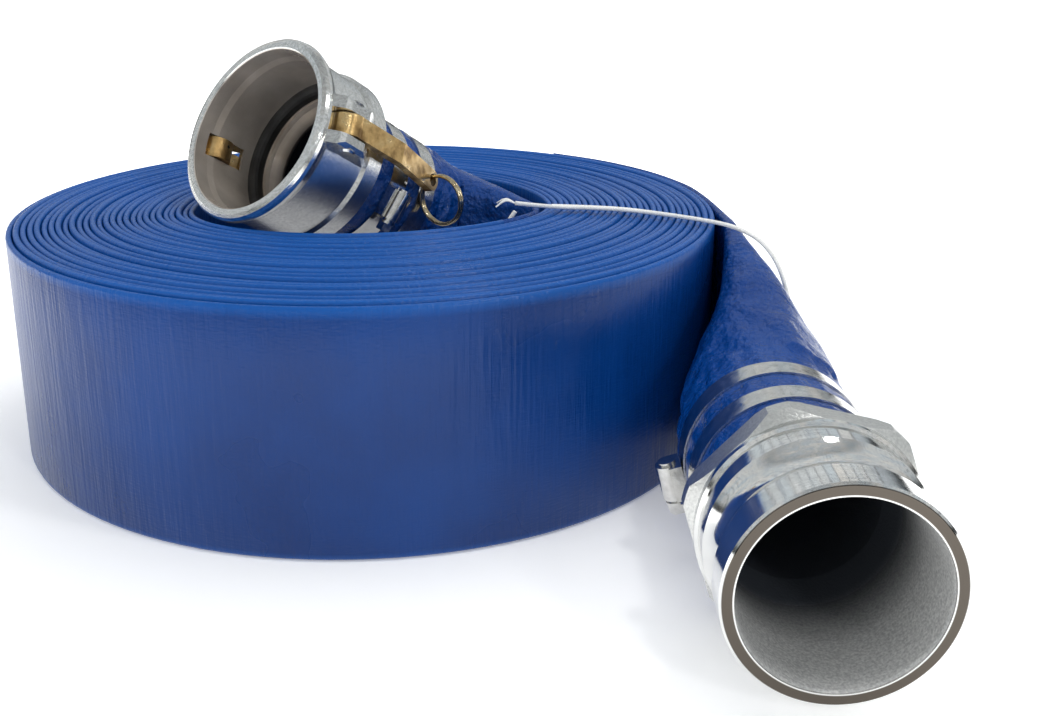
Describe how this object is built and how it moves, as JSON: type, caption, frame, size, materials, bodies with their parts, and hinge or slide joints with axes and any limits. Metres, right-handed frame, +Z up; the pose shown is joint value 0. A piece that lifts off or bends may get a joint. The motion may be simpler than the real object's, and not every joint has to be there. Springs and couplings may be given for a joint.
{
  "type": "camlock hose coupling set",
  "caption": "Rolled lay-flat discharge hose with a cam-lever coupler at one end and a plain grooved adapter at the other, each held by worm-drive clamps.",
  "frame": {"origin": "on the floor, under the middle of the whole object's bounding box", "axes": "+Z up, the adapter's mouth towards -Y, the adapter on the +X side"},
  "size_m": [0.464, 0.4967, 0.2176],
  "materials": {
    "polished_stainless": "machined and polished",
    "satin_stainless": "satin cast with machined faces",
    "black_rubber": "matt",
    "cast_brass": "tumbled, slightly aged",
    "ring_wire": "bright wire",
    "clamp_steel": "bright rolled strip",
    "blue_hose": "glossy coated fabric",
    "cotton_string": "woven"
  },
  "bodies": {
    "hose_assembly": {"adapter_body": "polished_stainless", "adapter_front_clamp_band": "clamp_steel", "adapter_front_clamp_housing": "clamp_steel", "adapter_rear_clamp_band": "clamp_steel", "adapter_rear_clamp_housing": "clamp_steel", "back_pivot_pin": "satin_stainless", "coupler_body": "satin_stainless", "coupler_front_clamp_band": "clamp_steel", "coupler_front_clamp_housing": "clamp_steel", "coupler_gasket": "black_rubber", "coupler_rear_clamp_band": "clamp_steel", "coupler_rear_clamp_housing": "clamp_steel", "front_pivot_pin": "satin_stainless", "hose_roll": "blue_hose", "inner_lead": "blue_hose", "outer_lead": "blue_hose", "tie_string": "cotton_string"},
    "front_lever": {"front_cam_lever": "cast_brass"},
    "front_ring": {"front_pull_ring": "ring_wire"},
    "back_lever": {"back_cam_lever": "cast_brass"},
    "back_ring": {"back_pull_ring": "ring_wire"},
    "adapter_front_clamp_screw": {"adapter_front_clamp_screw": "clamp_steel"},
    "adapter_rear_clamp_screw": {"adapter_rear_clamp_screw": "clamp_steel"},
    "coupler_front_clamp_screw": {"coupler_front_clamp_screw": "clamp_steel"},
    "coupler_rear_clamp_screw": {"coupler_rear_clamp_screw": "clamp_steel"}
  },
  "joints": [
    {"name": "front_lever_swing", "type": "hinge", "parent": "hose_assembly", "child": "front_lever", "pos_m": [-0.03337, 0.00298, 0.17535], "axis": [-0.1119, -0.5495, -0.828], "range_deg": [0, 100]},
    {"name": "front_ring_swing", "type": "hinge", "parent": "front_lever", "child": "front_ring", "pos_m": [0.00021, 0.05412, 0.13687], "axis": [0.8346, -0.5043, 0.2219], "range_deg": [-20, 20]},
    {"name": "back_lever_swing", "type": "hinge", "parent": "hose_assembly", "child": "back_lever", "pos_m": [-0.12617, 0.05906, 0.15068], "axis": [0.1119, 0.5495, 0.828], "range_deg": [0, 2]},
    {"name": "back_ring_swing", "type": "hinge", "parent": "back_lever", "child": "back_ring", "pos_m": [-0.08208, 0.10384, 0.11499], "axis": [-0.8346, 0.5043, -0.2219], "range_deg": [-20, 20]},
    {"name": "adapter_front_clamp_screw_turn", "type": "hinge", "parent": "hose_assembly", "child": "adapter_front_clamp_screw", "pos_m": [0.2182, -0.14743, 0.02298], "axis": [0.5725, 0.035, 0.8192], "continuous": true},
    {"name": "adapter_rear_clamp_screw_turn", "type": "hinge", "parent": "hose_assembly", "child": "adapter_rear_clamp_screw", "pos_m": [0.13149, -0.12368, 0.03723], "axis": [0.2751, 0.0168, -0.9613], "continuous": true},
    {"name": "coupler_front_clamp_screw_turn", "type": "hinge", "parent": "hose_assembly", "child": "coupler_front_clamp_screw", "pos_m": [-0.01551, 0.03581, 0.12584], "axis": [-0.4665, -0.2728, -0.8414], "continuous": true},
    {"name": "coupler_rear_clamp_screw_turn", "type": "hinge", "parent": "hose_assembly", "child": "coupler_rear_clamp_screw", "pos_m": [-0.05642, 0.12051, 0.14595], "axis": [0.7266, -0.0591, 0.6846], "continuous": true}
  ]
}
